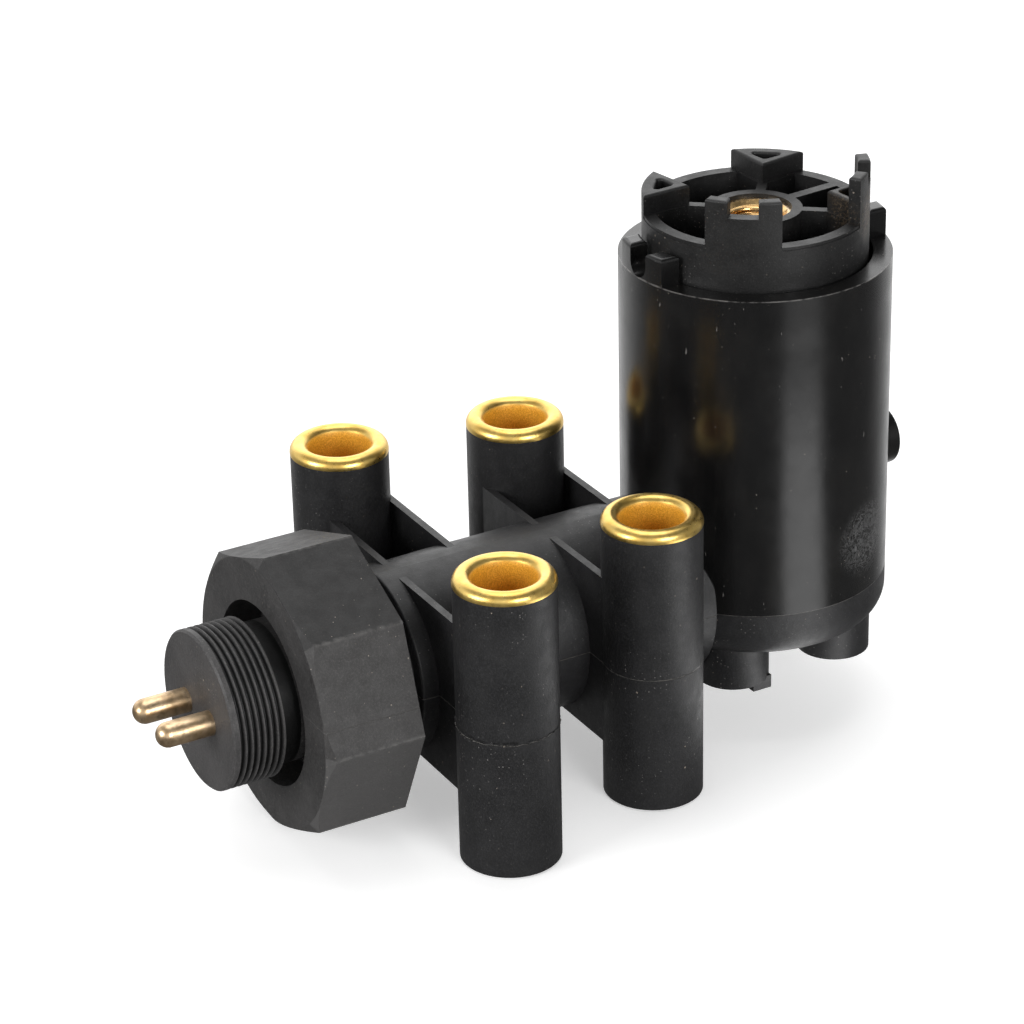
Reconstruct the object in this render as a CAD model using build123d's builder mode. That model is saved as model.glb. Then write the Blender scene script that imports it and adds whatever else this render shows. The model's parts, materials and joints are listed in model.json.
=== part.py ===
from build123d import *
import os

os.makedirs("parts", exist_ok=True)

# Rotary level sensor, in millimetres.
# X runs along the barrel, from the connector to the rotor. +Z is up, along the rotor axis.
# The four bolt bushes stand on Z = 0.

# ---- Frame ----
AXIS_Z = 22.0  # height of the barrel axis
ROTOR_X = 39.2  # place of the rotor axis along the barrel

# ---- Barrel ----
BARREL_R = 14.12
BARREL_FRONT = -26.0
BARREL_END = 23.8
NOSE_FRONT = -34.0  # threaded nose inside the retaining nut
NOSE_R = 13.3
NOSE_GROOVE_FRONT = -30.2
NOSE_GROOVE_R = 11.9
BORE_R = 10.4
BORE_END = 21.0
PASSAGE_R = 4.4  # hole in the end wall between the coil and the rotor chamber
EDGE_R = 0.4

# ---- Rotor housing ----
CASE_R = 20.4
CASE_BOTTOM = 13.9
CASE_CORNER_R = 5.0
RIM_Z = 72.9
CHAMBER_R = 16.5
CHAMBER_FLOOR = 17.5
LEDGE_Z = 50.0
RIM_BORE_R = 17.5
RING_GROOVE_R = 18.2
RING_GROOVE_H = 1.3
CROWN_TOP = 77.2
CROWN_W = 11.0
CROWN_NOTCH_W = 4.25
CROWN_EDGE_R = 0.6
FOOT_R = 5.6
FOOT_X = 9.2
FOOT_Y = 8.8
FOOT_BOTTOM = 8.1
NIB_SIZE = (3.2, 2.6, 1.6)  # gate stub under one foot
NIB_PLACE = (-6.6, -12.0)
BOSS_R = 4.6
BOSS_Z = 36.9
BOSS_END = 63.4

# ---- Bolt tubes and their bushes ----
TUBE_R = 7.45
TUBE_BOTTOM = 0.3
TUBE_TOP = 44.0
TUBE_HOLE_R = 5.85
OUTER_TUBE_X = -18.4
OUTER_TUBE_Y = 25.5
INNER_TUBE_X = 8.9
INNER_TUBE_Y = 20.14
BUSH_R = 5.8
BUSH_BORE_R = 4.65
BUSH_TOP = 45.63
RIM_R = 7.48  # outside of the rolled rim, a full half round down to the bore

# ---- Ribs between the barrel and the tubes ----
RIB_T = 1.15
RIB_BOTTOM = 8.8
RIB_TOP = 35.9
OUTER_RIB_X = (-23.3, -12.5)
INNER_RIB_X = (1.8, 14.85)

# ---- Retaining nut ----
NUT_FRONT = -44.84
NUT_BACK = -29.87
NUT_CORNER_R = 22.0
NUT_TURN = 2.61  # degrees that the octagon is turned about the barrel axis
NUT_FACE_R = 20.3
NUT_CHAMFER_L = 1.04
NUT_MOUTH_R = 13.94
NUT_WEB_FRONT = -38.5
NUT_WEB_BACK = -37.05
NUT_WEB_R = 12.2
NUT_REAR_R = 13.4

# ---- Connector plug: M24 x 1 ----
PLUG_FRONT = -55.0
THREAD_R = 12.0
THREAD_PITCH = 1.0
THREAD_DEPTH = 0.6
THREAD_TURNS = 7
THREAD_START = -53.95
THREAD_END = -46.6
NECK_R = 10.65
PLUG_FLANGE_FRONT = -37.0
PLUG_FLANGE_R = 13.2
SPIGOT_R = 10.35
PLUG_END = -26.0
ORING_X = -30.5
ORING_R = 0.98
ORING_RING_R = 9.4
ORING_GROOVE_W = 2.4
ORING_GROOVE_R = 8.4
PIN_R = 1.87
PIN_SHANK_R = 1.6  # inside the plug
PIN_Y = 4.0
PIN_TIP = -63.4
PIN_END = -25.0

# ---- Coil ----
COIL_FRONT = -20.0
COIL_END = 19.0
COIL_FLANGE_T = 1.2
BOBBIN_BORE_R = 4.2
BOBBIN_R = 4.8
BOBBIN_FLANGE_R = 9.0
WINDING_R = 8.7
SLEEVE_INNER_R = 9.2
SLEEVE_R = 10.3
WIRE_R = 0.4
WIRE_HOLE_R = 0.5
WIRE_END_Y = 6.5
WIRE_BEND_R = 1.0
GUIDE_FLANGE_R = 6.5
GUIDE_END = 22.6

# ---- Armature and its yoke ----
CORE_R = 3.8
CORE_FRONT = -11.5
CORE_END = 10.5
ROD_R = 1.5
ROD_FRONT = 0.0
ROD_END = 36.2
YOKE_X = 4.0  # half length along the barrel
YOKE_Y = (-9.0, 3.0)
YOKE_Z = (19.8, 24.2)
YOKE_SLOT_W = 3.5
YOKE_SLOT_Y = (-7.1, -1.1)

# ---- Crank and shaft ----
CRANK_R = 5.0  # throw of the crank pin
CRANK_PIN_R = 1.5
CRANK_PIN_BOTTOM = 19.0
CRANK_DISC_R = 8.0
CRANK_DISC_Z = (25.0, 28.0)
SHAFT_R = 5.0
SHAFT_TOP = 65.8
SPIGOT_END_R = 2.2
CIRCLIP_Z = (34.9, 35.8)
CIRCLIP_GROOVE_R = 4.6
CIRCLIP_R = 6.8

# ---- Bearing ----
CARRIER_R = 17.4
CARRIER_T = 4.0
CARRIER_BOSS_R = 9.0
CARRIER_BOTTOM = 36.0
BEARING_R = 7.0
BEARING_BORE_R = 5.04
BEARING_TOP = 50.5
SEAL_R = 8.5
SEAL_BORE_R = 5.03
SEAL_T = 3.0
SNAP_RING_INNER_R = 15.9
SNAP_RING_R = 18.1
SNAP_RING_T = 1.2
WASHER_R = 8.0
WASHER_BORE_R = 5.1
WASHER_T = 1.8

# ---- Rotor ----
RING_R = 16.84
RING_STEP = 0.1
RING_STEP_H = 0.5
RING_INNER_R = 14.85
RING_BOTTOM = 58.0
RING_TOP = 79.6
FLOOR_Z = (60.0, 63.0)
HUB_R = 6.95
HUB_BOTTOM = 56.0
SPOKE_W = 1.5
EXTRA_SPOKE_W = 1.7
EXTRA_SPOKE_ANGLE = 6.0
BLOCK_TOP = 82.6
BLOCK_HALF_ANGLE = 19.0
WEB_HALF_ANGLE = 20.2
WEB_MARGIN = 0.7
LOW_STATIONS = {51.0: 9.8, 141.0: 9.8}  # angle: radius of the block's apex
TALL_STATIONS = {-129.0: 10.6, -39.0: 10.6}
HOLE_APEX_R = 12.2
HOLE_CORNER = (14.9, 2.8)
HOLE_CORNER_R = 0.5
ROTOR_EDGE_R = 0.4
WALL_INNER_R = 14.95
WALL_MIDDLE_R = 15.9
WALL_HALF_ANGLE = 19.4
WALL_TOP = 86.7
WALL_NOTCH_HALF_ANGLE = 7.8
WALL_NOTCH_Z = 84.15
INSERT_R = 5.38
INSERT_HOLE_R = 5.4
INSERT_Z = (66.0, 79.0)
INSERT_BORE_R = 3.4  # tapping size of M8
INSERT_MOUTH_R = 4.75
INSERT_THREAD_R = 4.0  # outside of the M8 thread
INSERT_CHAMFER = 1.2

BARREL_AXIS = Axis((0, 0, AXIS_Z), (1, 0, 0))
ROTOR_AXIS = Axis((ROTOR_X, 0, 0), (0, 0, 1))
BARREL_SECTION = Plane(origin=(0, 0, AXIS_Z), x_dir=(1, 0, 0), z_dir=(0, -1, 0))  # (along, radius)
ROTOR_SECTION = Plane(origin=(ROTOR_X, 0, 0), x_dir=(1, 0, 0), z_dir=(0, -1, 0))  # (radius, height)
TUBES = {
    "front_outer": (OUTER_TUBE_X, -OUTER_TUBE_Y),
    "rear_outer": (OUTER_TUBE_X, OUTER_TUBE_Y),
    "front_inner": (INNER_TUBE_X, -INNER_TUBE_Y),
    "rear_inner": (INNER_TUBE_X, INNER_TUBE_Y),
}


def across_barrel(x):
    """The plane square to the barrel at x, centred on the barrel axis, with Y across and Z up."""
    return Plane(origin=(x, 0, AXIS_Z), x_dir=(0, 1, 0), z_dir=(1, 0, 0))


def across_rotor(z, turn=0.0):
    """The level plane at height z, centred on the rotor axis and turned about it."""
    return Plane((ROTOR_X, 0, z)).rotated((0, 0, turn))


# ---- Crown: two raised sectors of the rim, each split by a round-bottomed notch ----
with BuildPart() as crown:
    with BuildSketch(across_rotor(RIM_Z - 1.0)):
        Circle(CASE_R)
        Circle(RIM_BORE_R, mode=Mode.SUBTRACT)
    extrude(amount=CROWN_TOP - RIM_Z + 1.0)
    with BuildSketch(Plane(origin=(ROTOR_X - CASE_R, 0, RIM_Z), x_dir=(0, 1, 0), z_dir=(1, 0, 0))):
        with Locations((0, -1.0)):
            Rectangle(CROWN_W, CROWN_TOP - RIM_Z + 1.0, align=(Align.CENTER, Align.MIN))
        with Locations((0, CROWN_NOTCH_W / 2)):
            Circle(CROWN_NOTCH_W / 2, mode=Mode.SUBTRACT)
            Rectangle(
                CROWN_NOTCH_W, CROWN_TOP - RIM_Z, align=(Align.CENTER, Align.MIN), mode=Mode.SUBTRACT
            )
    extrude(amount=2 * CASE_R, mode=Mode.INTERSECT)
    fillet(crown.faces().group_by(Axis.Z)[-1].edges(), CROWN_EDGE_R)

# ---- Housing ----
with BuildPart() as housing:
    barrel_steps = (
        (NOSE_FRONT, NOSE_GROOVE_FRONT, NOSE_R),
        (NOSE_GROOVE_FRONT, BARREL_FRONT, NOSE_GROOVE_R),
    )
    for start, end, radius in barrel_steps:
        with BuildSketch(across_barrel(start)):
            Circle(radius)
        extrude(amount=end - start)

    with BuildSketch(BARREL_SECTION) as barrel_profile:
        with Locations((BARREL_FRONT, 0)):
            Rectangle(BARREL_END - BARREL_FRONT, BARREL_R, align=(Align.MIN, Align.MIN))
        fillet(barrel_profile.vertices().group_by(Axis.Y)[-1].sort_by(Axis.X)[0], EDGE_R)
    revolve(axis=BARREL_AXIS)

    # Rotor housing, with a rounded bottom corner
    with BuildSketch(ROTOR_SECTION) as case_profile:
        with Locations((0, CASE_BOTTOM)):
            Rectangle(CASE_R, RIM_Z - CASE_BOTTOM, align=(Align.MIN, Align.MIN))
        fillet(case_profile.vertices().group_by(Axis.Y)[0].sort_by(Axis.X)[-1], CASE_CORNER_R)
    revolve(axis=ROTOR_AXIS)

    # Feet, and the gate stub under one of them
    with BuildSketch(across_rotor(FOOT_BOTTOM)):
        with GridLocations(2 * FOOT_X, 2 * FOOT_Y, 2, 2):
            Circle(FOOT_R)
    extrude(amount=CHAMBER_FLOOR - 1.0 - FOOT_BOTTOM)
    with BuildSketch(across_rotor(FOOT_BOTTOM - NIB_SIZE[2])):
        with Locations(NIB_PLACE):
            Rectangle(NIB_SIZE[0], NIB_SIZE[1])
    extrude(amount=NIB_SIZE[2] + 0.5)

    # Rear boss
    with BuildSketch(Plane(origin=(ROTOR_X, 0, BOSS_Z), x_dir=(0, 1, 0), z_dir=(1, 0, 0))):
        Circle(BOSS_R)
    extrude(amount=BOSS_END - ROTOR_X)
    fillet(housing.edges().group_by(Axis.X)[-1], EDGE_R)

    # Tubes
    for centre in TUBES.values():
        with BuildSketch(Plane.XY.offset(TUBE_BOTTOM)):
            with Locations(centre):
                Circle(TUBE_R)
        extrude(amount=TUBE_TOP - TUBE_BOTTOM)

    # Ribs, each running through the barrel from tube to tube
    for rib_places, tube_y in ((OUTER_RIB_X, OUTER_TUBE_Y), (INNER_RIB_X, INNER_TUBE_Y)):
        for rib_x in rib_places:
            with BuildSketch(Plane.YZ.offset(rib_x)):
                with Locations((0, RIB_BOTTOM)):
                    Rectangle(2 * tube_y, RIB_TOP - RIB_BOTTOM, align=(Align.CENTER, Align.MIN))
            extrude(amount=RIB_T)

    add(crown.part)

    # Bores
    for start, end, radius in ((NOSE_FRONT, BORE_END, BORE_R), (BORE_END, ROTOR_X, PASSAGE_R)):
        with BuildSketch(across_barrel(start)):
            Circle(radius)
        extrude(amount=end - start, mode=Mode.SUBTRACT)
    chamber_steps = (
        (CHAMBER_FLOOR, LEDGE_Z, CHAMBER_R),
        (LEDGE_Z, CROWN_TOP + 1.0, RIM_BORE_R),
        (LEDGE_Z + CARRIER_T, LEDGE_Z + CARRIER_T + RING_GROOVE_H, RING_GROOVE_R),
    )
    for bottom, top, radius in chamber_steps:
        with BuildSketch(across_rotor(bottom)):
            Circle(radius)
        extrude(amount=top - bottom, mode=Mode.SUBTRACT)
    for centre in TUBES.values():
        with BuildSketch(Plane.XY):
            with Locations(centre):
                Circle(TUBE_HOLE_R)
        extrude(amount=TUBE_TOP, mode=Mode.SUBTRACT)
housing.part.label = "housing"
export_step(housing.part, "parts/housing.step")

# ---- Bolt bushes: rolled over at the top ----
RIM_MIDDLE_R = (RIM_R + BUSH_BORE_R) / 2
RIM_MIDDLE_Z = BUSH_TOP - (RIM_R - BUSH_BORE_R) / 2
for place, (tube_x, tube_y) in TUBES.items():
    with BuildPart() as bush:
        with BuildSketch(Plane(origin=(tube_x, tube_y, 0), x_dir=(1, 0, 0), z_dir=(0, -1, 0))):
            with BuildLine():
                Polyline(
                    (RIM_R, RIM_MIDDLE_Z),
                    (RIM_R, TUBE_TOP),
                    (BUSH_R, TUBE_TOP),
                    (BUSH_R, 0),
                    (BUSH_BORE_R, 0),
                    (BUSH_BORE_R, RIM_MIDDLE_Z),
                )
                ThreePointArc(
                    (BUSH_BORE_R, RIM_MIDDLE_Z), (RIM_MIDDLE_R, BUSH_TOP), (RIM_R, RIM_MIDDLE_Z)
                )
            make_face()
        revolve(axis=Axis((tube_x, tube_y, 0), (0, 0, 1)))
    bush.part.label = f"bush_{place}"
    export_step(bush.part, f"parts/bush_{place}.step")

# ---- Retaining nut ----
with BuildPart() as retaining_nut:
    with BuildSketch(across_barrel(NUT_FRONT)):
        RegularPolygon(NUT_CORNER_R, 8, rotation=NUT_TURN)
    extrude(amount=NUT_BACK - NUT_FRONT)
    with BuildSketch(BARREL_SECTION):
        with BuildLine():
            Polyline(
                (NUT_FRONT, 0),
                (NUT_FRONT, NUT_FACE_R),
                (NUT_FRONT + NUT_CHAMFER_L, NUT_CORNER_R),
                (NUT_BACK, NUT_CORNER_R),
                (NUT_BACK, 0),
                close=True,
            )
        make_face()
    revolve(axis=BARREL_AXIS, mode=Mode.INTERSECT)
    nut_bores = (
        (NUT_FRONT, NUT_WEB_FRONT, NUT_MOUTH_R),
        (NUT_WEB_FRONT, NUT_WEB_BACK, NUT_WEB_R),
        (NUT_WEB_BACK, NUT_BACK, NUT_REAR_R),
    )
    for start, end, radius in nut_bores:
        with BuildSketch(across_barrel(start)):
            Circle(radius)
        extrude(amount=end - start, mode=Mode.SUBTRACT)
    fillet(retaining_nut.edges().filter_by(GeomType.CIRCLE).sort_by(Axis.X)[0], EDGE_R)
retaining_nut.part.label = "retaining_nut"
export_step(retaining_nut.part, "parts/retaining_nut.step")

# ---- Connector plug ----
with BuildPart() as connector_plug:
    with BuildSketch(BARREL_SECTION):
        with BuildLine():
            outline = [(PLUG_FRONT, 0), (PLUG_FRONT, THREAD_R - 0.3), (PLUG_FRONT + 0.3, THREAD_R)]
            for turn in range(THREAD_TURNS):
                groove = THREAD_START + turn * THREAD_PITCH
                outline += [
                    (groove, THREAD_R),
                    (groove + 0.36 * THREAD_PITCH, THREAD_R - THREAD_DEPTH),
                    (groove + 0.48 * THREAD_PITCH, THREAD_R - THREAD_DEPTH),
                    (groove + 0.84 * THREAD_PITCH, THREAD_R),
                ]
            outline += [
                (THREAD_END - 0.3, THREAD_R),
                (THREAD_END, NECK_R),
                (PLUG_FLANGE_FRONT, NECK_R),
                (PLUG_FLANGE_FRONT, PLUG_FLANGE_R),
                (NOSE_FRONT, PLUG_FLANGE_R),
                (NOSE_FRONT, SPIGOT_R),
                (ORING_X - ORING_GROOVE_W / 2, SPIGOT_R),
                (ORING_X - ORING_GROOVE_W / 2, ORING_GROOVE_R),
                (ORING_X + ORING_GROOVE_W / 2, ORING_GROOVE_R),
                (ORING_X + ORING_GROOVE_W / 2, SPIGOT_R),
                (PLUG_END, SPIGOT_R),
                (PLUG_END, 0),
            ]
            Polyline(*outline, close=True)
        make_face()
    revolve(axis=BARREL_AXIS)
    with BuildSketch(across_barrel(PLUG_FRONT)):
        with Locations((-PIN_Y, 0), (PIN_Y, 0)):
            Circle(PIN_SHANK_R)
    extrude(amount=PLUG_END - PLUG_FRONT, mode=Mode.SUBTRACT)
connector_plug.part.label = "connector_plug"
export_step(connector_plug.part, "parts/connector_plug.step")

with BuildPart() as plug_o_ring:
    with BuildSketch(BARREL_SECTION):
        with Locations((ORING_X, ORING_RING_R)):
            Circle(ORING_R)
    revolve(axis=BARREL_AXIS)
plug_o_ring.part.label = "plug_o_ring"
export_step(plug_o_ring.part, "parts/plug_o_ring.step")

# ---- Contact pins and lead wires ----
for place, side in (("front", -1), ("rear", 1)):
    with BuildPart() as contact_pin:
        with BuildSketch(across_barrel(PIN_TIP)):
            with Locations((side * PIN_Y, 0)):
                Circle(PIN_R)
        extrude(amount=PLUG_FRONT - PIN_TIP)
        fillet(contact_pin.edges().group_by(Axis.X)[0], PIN_R - 0.05)
        with BuildSketch(across_barrel(PLUG_FRONT)):
            with Locations((side * PIN_Y, 0)):
                Circle(PIN_SHANK_R)
        extrude(amount=PIN_END - PLUG_FRONT)
    contact_pin.part.label = f"contact_pin_{place}"
    export_step(contact_pin.part, f"parts/contact_pin_{place}.step")

    with BuildPart() as lead_wire:
        with BuildLine() as wire_path:
            FilletPolyline(
                (PIN_END, side * PIN_Y, AXIS_Z),
                (PIN_END + 1.5, side * PIN_Y, AXIS_Z),
                (COIL_FRONT - 1.2, side * WIRE_END_Y, AXIS_Z),
                (COIL_FRONT + COIL_FLANGE_T, side * WIRE_END_Y, AXIS_Z),
                radius=WIRE_BEND_R,
            )
        with BuildSketch(across_barrel(PIN_END)):
            with Locations((side * PIN_Y, 0)):
                Circle(WIRE_R)
        sweep(path=wire_path.wires()[0])
    lead_wire.part.label = f"lead_wire_{place}"
    export_step(lead_wire.part, f"parts/lead_wire_{place}.step")

# ---- Coil ----
with BuildPart() as coil_bobbin:
    bobbin_steps = (
        (COIL_FRONT, COIL_FRONT + COIL_FLANGE_T, BOBBIN_FLANGE_R),
        (COIL_FRONT + COIL_FLANGE_T, COIL_END - COIL_FLANGE_T, BOBBIN_R),
        (COIL_END - COIL_FLANGE_T, COIL_END, BOBBIN_FLANGE_R),
    )
    for start, end, radius in bobbin_steps:
        with BuildSketch(across_barrel(start)):
            Circle(radius)
            Circle(BOBBIN_BORE_R, mode=Mode.SUBTRACT)
        extrude(amount=end - start)
    with BuildSketch(across_barrel(COIL_FRONT)):
        with Locations((-WIRE_END_Y, 0), (WIRE_END_Y, 0)):
            Circle(WIRE_HOLE_R)
    extrude(amount=COIL_FLANGE_T, mode=Mode.SUBTRACT)
coil_bobbin.part.label = "coil_bobbin"
export_step(coil_bobbin.part, "parts/coil_bobbin.step")

with BuildPart() as coil_winding:
    winding_start = COIL_FRONT + COIL_FLANGE_T
    with BuildSketch(across_barrel(winding_start)):
        Circle(WINDING_R)
        Circle(BOBBIN_R, mode=Mode.SUBTRACT)
    extrude(amount=COIL_END - COIL_FLANGE_T - winding_start)
coil_winding.part.label = "coil_winding"
export_step(coil_winding.part, "parts/coil_winding.step")

with BuildPart() as flux_sleeve:
    with BuildSketch(across_barrel(COIL_FRONT)):
        Circle(SLEEVE_R)
        Circle(SLEEVE_INNER_R, mode=Mode.SUBTRACT)
    extrude(amount=COIL_END - COIL_FRONT)
flux_sleeve.part.label = "flux_sleeve"
export_step(flux_sleeve.part, "parts/flux_sleeve.step")

with BuildPart() as guide_bush:
    for start, end, radius in ((COIL_END, BORE_END, GUIDE_FLANGE_R), (BORE_END, GUIDE_END, PASSAGE_R)):
        with BuildSketch(across_barrel(start)):
            Circle(radius)
            Circle(ROD_R + 0.04, mode=Mode.SUBTRACT)
        extrude(amount=end - start)
guide_bush.part.label = "guide_bush"
export_step(guide_bush.part, "parts/guide_bush.step")

# ---- Armature ----
with BuildPart() as armature_core:
    with BuildSketch(across_barrel(CORE_FRONT)):
        Circle(CORE_R)
    extrude(amount=CORE_END - CORE_FRONT)
    chamfer(armature_core.edges(), EDGE_R)
    with BuildSketch(across_barrel(ROD_FRONT)):
        Circle(ROD_R)
    extrude(amount=CORE_END - ROD_FRONT, mode=Mode.SUBTRACT)
armature_core.part.label = "armature_core"
export_step(armature_core.part, "parts/armature_core.step")

with BuildPart() as armature_rod:
    with BuildSketch(across_barrel(ROD_FRONT)):
        Circle(ROD_R)
    extrude(amount=ROD_END - ROD_FRONT)
armature_rod.part.label = "armature_rod"
export_step(armature_rod.part, "parts/armature_rod.step")

with BuildPart() as drive_yoke:
    with BuildSketch(across_rotor(YOKE_Z[0])):
        with Locations((0, sum(YOKE_Y) / 2)):
            Rectangle(2 * YOKE_X, YOKE_Y[1] - YOKE_Y[0])
        with Locations((0, sum(YOKE_SLOT_Y) / 2)):
            SlotOverall(YOKE_SLOT_Y[1] - YOKE_SLOT_Y[0], YOKE_SLOT_W, rotation=90, mode=Mode.SUBTRACT)
    extrude(amount=YOKE_Z[1] - YOKE_Z[0])
    fillet(drive_yoke.edges().filter_by(Axis.Z).filter_by(GeomType.LINE).group_by(SortBy.DISTANCE)[-1], EDGE_R)
    with BuildSketch(across_barrel(ROTOR_X - YOKE_X)):
        Circle(ROD_R)
    extrude(amount=ROD_END - ROTOR_X + YOKE_X, mode=Mode.SUBTRACT)
drive_yoke.part.label = "drive_yoke"
export_step(drive_yoke.part, "parts/drive_yoke.step")

# ---- Crank ----
with BuildPart() as crank_disc:
    with BuildSketch(across_rotor(CRANK_DISC_Z[0])):
        Circle(CRANK_DISC_R)
        Circle(SPIGOT_END_R, mode=Mode.SUBTRACT)
        with Locations((0, -CRANK_R)):
            Circle(CRANK_PIN_R, mode=Mode.SUBTRACT)
    extrude(amount=CRANK_DISC_Z[1] - CRANK_DISC_Z[0])
crank_disc.part.label = "crank_disc"
export_step(crank_disc.part, "parts/crank_disc.step")

with BuildPart() as crank_pin:
    with BuildSketch(across_rotor(CRANK_PIN_BOTTOM)):
        with Locations((0, -CRANK_R)):
            Circle(CRANK_PIN_R)
    extrude(amount=CRANK_DISC_Z[1] - CRANK_PIN_BOTTOM)
    chamfer(crank_pin.edges().group_by(Axis.Z)[0], 0.2)
crank_pin.part.label = "crank_pin"
export_step(crank_pin.part, "parts/crank_pin.step")

# ---- Shaft ----
with BuildPart() as rotor_shaft:
    with BuildSketch(ROTOR_SECTION):
        with BuildLine():
            Polyline(
                (0, CRANK_DISC_Z[0]),
                (SPIGOT_END_R, CRANK_DISC_Z[0]),
                (SPIGOT_END_R, CRANK_DISC_Z[1]),
                (SHAFT_R, CRANK_DISC_Z[1]),
                (SHAFT_R, CIRCLIP_Z[0]),
                (CIRCLIP_GROOVE_R, CIRCLIP_Z[0]),
                (CIRCLIP_GROOVE_R, CIRCLIP_Z[1]),
                (SHAFT_R, CIRCLIP_Z[1]),
                (SHAFT_R, SHAFT_TOP),
                (0, SHAFT_TOP),
                close=True,
            )
        make_face()
    revolve(axis=ROTOR_AXIS)
rotor_shaft.part.label = "rotor_shaft"
export_step(rotor_shaft.part, "parts/rotor_shaft.step")

with BuildPart() as shaft_circlip:
    with BuildSketch(across_rotor(CIRCLIP_Z[0])):
        Circle(CIRCLIP_R)
        Circle(CIRCLIP_GROOVE_R, mode=Mode.SUBTRACT)
        Rectangle(2 * CIRCLIP_R, 2.0, align=(Align.MIN, Align.CENTER), mode=Mode.SUBTRACT)
    extrude(amount=CIRCLIP_Z[1] - CIRCLIP_Z[0])
shaft_circlip.part.label = "shaft_circlip"
export_step(shaft_circlip.part, "parts/shaft_circlip.step")

# ---- Bearing ----
CARRIER_TOP = LEDGE_Z + CARRIER_T
with BuildPart() as bearing_carrier:
    with BuildSketch(ROTOR_SECTION):
        with BuildLine():
            Polyline(
                (BEARING_R, CARRIER_BOTTOM),
                (CARRIER_BOSS_R, CARRIER_BOTTOM),
                (CARRIER_BOSS_R, LEDGE_Z),
                (CARRIER_R, LEDGE_Z),
                (CARRIER_R, CARRIER_TOP),
                (SEAL_R, CARRIER_TOP),
                (SEAL_R, CARRIER_TOP - SEAL_T),
                (BEARING_R, CARRIER_TOP - SEAL_T),
                close=True,
            )
        make_face()
    revolve(axis=ROTOR_AXIS)
bearing_carrier.part.label = "bearing_carrier"
export_step(bearing_carrier.part, "parts/bearing_carrier.step")

with BuildPart() as bearing_bush:
    with BuildSketch(across_rotor(CARRIER_BOTTOM)):
        Circle(BEARING_R)
        Circle(BEARING_BORE_R, mode=Mode.SUBTRACT)
    extrude(amount=BEARING_TOP - CARRIER_BOTTOM)
bearing_bush.part.label = "bearing_bush"
export_step(bearing_bush.part, "parts/bearing_bush.step")

with BuildPart() as shaft_seal:
    with BuildSketch(across_rotor(CARRIER_TOP - SEAL_T)):
        Circle(SEAL_R)
        Circle(SEAL_BORE_R, mode=Mode.SUBTRACT)
    extrude(amount=SEAL_T)
shaft_seal.part.label = "shaft_seal"
export_step(shaft_seal.part, "parts/shaft_seal.step")

with BuildPart() as carrier_retaining_ring:
    with BuildSketch(across_rotor(CARRIER_TOP)):
        Circle(SNAP_RING_R)
        Circle(SNAP_RING_INNER_R, mode=Mode.SUBTRACT)
        Rectangle(2 * SNAP_RING_R, 4.0, align=(Align.MIN, Align.CENTER), mode=Mode.SUBTRACT)
    extrude(amount=SNAP_RING_T)
carrier_retaining_ring.part.label = "carrier_retaining_ring"
export_step(carrier_retaining_ring.part, "parts/carrier_retaining_ring.step")

with BuildPart() as thrust_washer:
    with BuildSketch(across_rotor(CARRIER_TOP)):
        Circle(WASHER_R)
        Circle(WASHER_BORE_R, mode=Mode.SUBTRACT)
    extrude(amount=WASHER_T)
thrust_washer.part.label = "thrust_washer"
export_step(thrust_washer.part, "parts/thrust_washer.step")

# ---- Rotor ----
ALL_STATIONS = LOW_STATIONS | TALL_STATIONS


def block_corners(tip_r, half_angle):
    """Corners of a block's wedge: its tip at tip_r, its sides widening to half_angle at the ring."""
    side = Vector(RING_R, 0).rotate(Axis.Z, half_angle) - Vector(tip_r, 0)
    far = Vector(tip_r, 0) + 2 * side
    return (tip_r, 0), (far.X, -far.Y), (far.X, far.Y)


HOLE_CORNERS = ((HOLE_APEX_R, 0), (HOLE_CORNER[0], -HOLE_CORNER[1]), HOLE_CORNER)

# Upper part of the block at each station, with its hole and rounded top edges
station_pieces = []
for angle, apex_r in ALL_STATIONS.items():
    with BuildPart() as block:
        with BuildSketch(across_rotor(RING_TOP - RING_STEP_H, angle)):
            Circle(RING_R if angle in LOW_STATIONS else WALL_MIDDLE_R)
            Polygon(*block_corners(apex_r, BLOCK_HALF_ANGLE), align=None, mode=Mode.INTERSECT)
        extrude(amount=BLOCK_TOP - RING_TOP + RING_STEP_H)
        with BuildSketch(across_rotor(RING_TOP - RING_STEP_H, angle)) as block_hole:
            Polygon(*HOLE_CORNERS, align=None)
            fillet(block_hole.vertices(), HOLE_CORNER_R)
        extrude(amount=BLOCK_TOP - RING_TOP + RING_STEP_H, mode=Mode.SUBTRACT)
        fillet(block.faces().sort_by(Axis.Z)[-1].edges(), ROTOR_EDGE_R)
    station_pieces.append(block.part)

# Tall walls, each with a notch
for angle in TALL_STATIONS:
    with BuildPart() as wall:
        wall_bands = (
            (RING_TOP - RING_STEP_H, WALL_TOP, WALL_HALF_ANGLE, Mode.ADD),
            (WALL_NOTCH_Z, WALL_TOP, WALL_NOTCH_HALF_ANGLE, Mode.SUBTRACT),
        )
        for bottom, top, half_angle, mode in wall_bands:
            corner = Vector(2 * RING_R, 0).rotate(Axis.Z, half_angle)
            with BuildSketch(across_rotor(bottom, angle)):
                Circle(RING_R)
                Polygon((0, 0), (corner.X, -corner.Y), (corner.X, corner.Y), align=None, mode=Mode.INTERSECT)
                Circle(WALL_INNER_R, mode=Mode.SUBTRACT)
            extrude(amount=top - bottom, mode=mode)
        fillet(wall.faces().group_by(Axis.Z)[-1].edges(), ROTOR_EDGE_R)
    station_pieces.append(wall.part)

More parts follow.
